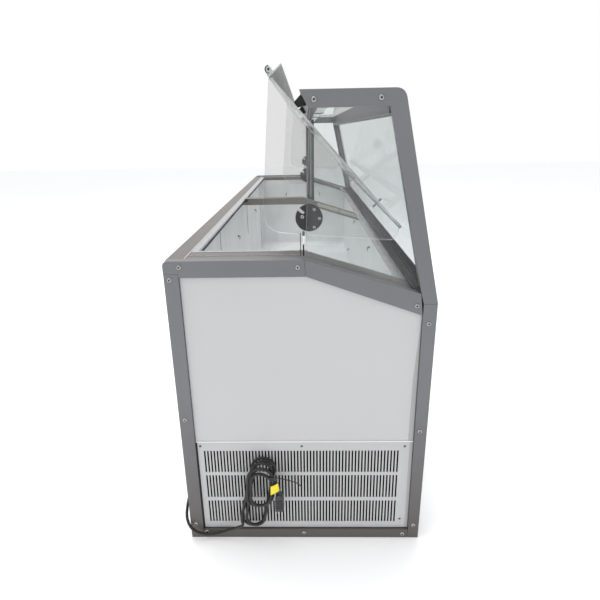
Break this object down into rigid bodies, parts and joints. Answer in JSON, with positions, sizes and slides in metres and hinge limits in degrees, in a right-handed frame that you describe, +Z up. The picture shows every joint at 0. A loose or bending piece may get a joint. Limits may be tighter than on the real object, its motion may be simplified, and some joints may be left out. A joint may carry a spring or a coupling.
{
  "type": "display chest freezer",
  "caption": "Long ice cream chest freezer with a slanted glass guard, a steel worktop round an open insulated well, and clear lids that flip up on pivots.",
  "frame": {"origin": "centre of the cabinet footprint, on the floor", "axes": "+X runs along the cabinet from the near end, which has the grille and the cord, to the far end; +Y points to the operator side, where the lids and controls are; +Z is up"},
  "size_m": [2.344, 0.7135, 1.3383],
  "materials": {
    "frame_grey": "grey powder coat, satin",
    "white_steel": "white enamel, semi-gloss",
    "stainless": "brushed along its length",
    "liner_white": "pale lacquered sheet, satin",
    "foam": "closed-cell foam",
    "clear_glass": "clear, polished",
    "clear_acrylic": "clear, polished",
    "bright_aluminium": "brushed, anodised",
    "black_plastic": "moulded, fine grain",
    "black_rubber": "matt",
    "dark_steel": "black enamel, satin",
    "lamp_white": "opal diffuser",
    "tag_yellow": "plain, matt"
  },
  "bodies": {
    "cabinet": {"base_tray": "dark_steel", "compressor": "dark_steel", "condenser": "dark_steel", "control_plate": "stainless", "cord_gland": "black_plastic", "crown_front_rail": "bright_aluminium", "crown_rear_rail": "frame_grey", "drain_plug": "black_rubber", "fan_motor": "dark_steel", "fan_shroud": "dark_steel", "far_bottom_rail": "frame_grey", "far_end_glass": "clear_glass", "far_end_ledge": "stainless", "far_end_panel": "white_steel", "far_flat_rail": "frame_grey", "far_front_post": "frame_grey", "far_guard_hoop": "frame_grey", "far_lid_bumper": "black_rubber", "far_pivot_disc": "black_plastic", "far_rear_post": "frame_grey", "far_sloped_rail": "frame_grey", "foam_insulation": "foam", "front_glass": "clear_glass", "front_glass_bead": "black_rubber", "front_ledge": "stainless", "front_panel": "white_steel", "front_sill": "frame_grey", "hank_tie": "black_plastic", "lamp_bar": "lamp_white", "lead_hank": "black_rubber", "lead_tag": "tag_yellow", "liner_tank": "liner_white", "mains_lead": "black_rubber", "mains_plug": "black_plastic", "mid_divider": "stainless", "mid_pivot_disc": "black_plastic", "mid_post": "frame_grey", "near_bottom_rail": "frame_grey", "near_end_glass": "clear_glass", "near_end_ledge": "stainless", "near_end_panel": "white_steel", "near_flat_rail": "frame_grey", "near_front_post": "frame_grey", "near_grille": "white_steel", "near_guard_hoop": "frame_grey", "near_lid_bumper": "black_rubber", "near_pivot_disc": "black_plastic", "near_rear_post": "frame_grey", "near_sloped_rail": "frame_grey", "rear_ledge": "stainless", "rear_panel": "white_steel", "top_glass": "clear_glass"},
    "near_lid": {"near_lid_shell": "clear_acrylic", "near_lid_handle": "bright_aluminium"},
    "far_lid": {"far_lid_shell": "clear_acrylic", "far_lid_handle": "bright_aluminium"},
    "fan": {"fan_blade": "bright_aluminium"},
    "rocker": {"power_rocker": "black_plastic"},
    "knob": {"thermostat_knob": "black_plastic"}
  },
  "joints": [
    {"name": "near_lid_hinge", "type": "hinge", "parent": "cabinet", "child": "near_lid", "pos_m": [-0.566, -0.0054, 0.9886], "axis": [-1, 0, 0], "range_deg": [0, 94]},
    {"name": "far_lid_hinge", "type": "hinge", "parent": "cabinet", "child": "far_lid", "pos_m": [0.566, -0.0054, 0.9886], "axis": [-1, 0, 0], "range_deg": [0, 94]},
    {"name": "fan_spin", "type": "hinge", "parent": "cabinet", "child": "fan", "pos_m": [-1.056, 0, 0.185], "axis": [1, 0, 0], "continuous": true},
    {"name": "rocker_tilt", "type": "hinge", "parent": "cabinet", "child": "rocker", "pos_m": [-0.97, 0.3406, 0.19], "axis": [1, 0, 0], "range_deg": [0, 12]},
    {"name": "knob_turn", "type": "hinge", "parent": "cabinet", "child": "knob", "pos_m": [-0.905, 0.3417, 0.19], "axis": [0, 1, 0], "range_deg": [0, 300]}
  ]
}
